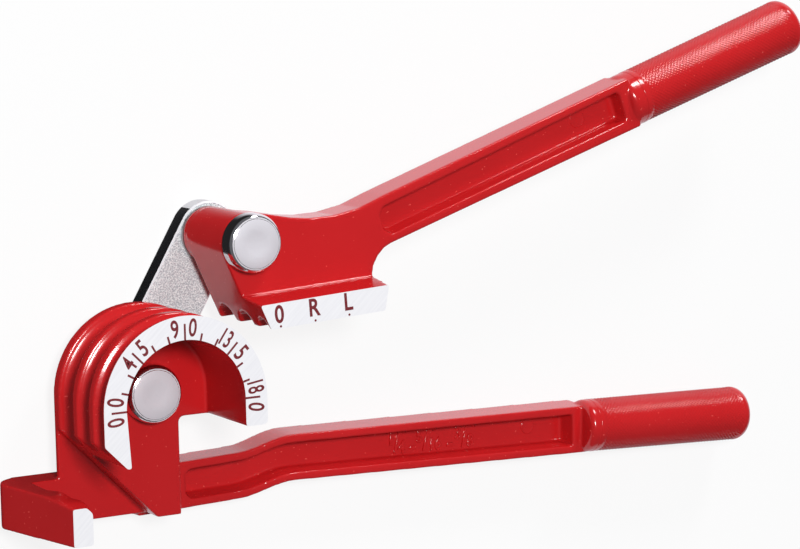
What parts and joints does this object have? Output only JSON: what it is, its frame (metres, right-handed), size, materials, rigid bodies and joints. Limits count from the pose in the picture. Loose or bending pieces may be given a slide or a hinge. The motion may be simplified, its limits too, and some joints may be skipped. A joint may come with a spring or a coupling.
{
  "type": "tube bender",
  "caption": "Hand tube bender: a grooved half-round die with a hook on one long handle, and a grooved shoe on a second handle, joined by a steel link.",
  "frame": {"origin": "centre of the die pivot rivet's flat tail, in the plane that the tool lies on", "axes": "+Z along the pivots, out of the machined faces; +X along the lower handle towards its grip; +Y towards the lever pivot side"},
  "size_m": [0.2709, 0.1468, 0.0448],
  "materials": {
    "red_enamel": "glossy red enamel over die-cast metal, bare machined front face",
    "red_enamel_lever": "glossy red enamel over die-cast metal, bare machined front face on the shoe",
    "link_steel": "bright plated steel with a grainy front face",
    "rivet_steel": "polished steel, satin on the flat of the head",
    "rivet_steel_lever": "polished steel, satin on the flat of the head",
    "washer_steel": "plain steel",
    "washer_steel_lever": "plain steel"
  },
  "bodies": {
    "lower_handle": {"lower_casting": "red_enamel", "die_pivot_rivet": "rivet_steel", "die_pivot_washer": "washer_steel"},
    "link": {"link_plate": "link_steel"},
    "upper_lever": {"upper_casting": "red_enamel_lever", "lever_pivot_rivet": "rivet_steel_lever", "lever_pivot_washer": "washer_steel_lever"}
  },
  "joints": [
    {"name": "link_swing", "type": "hinge", "parent": "lower_handle", "child": "link", "pos_m": [0, 0, 0], "axis": [0, 0, 1], "range_deg": [-59.3, 120.7]},
    {"name": "lever_swing", "type": "hinge", "parent": "link", "child": "upper_lever", "pos_m": [0.02568, 0.04325, 0], "axis": [0, 0, 1], "range_deg": [-34.2, 90]}
  ]
}
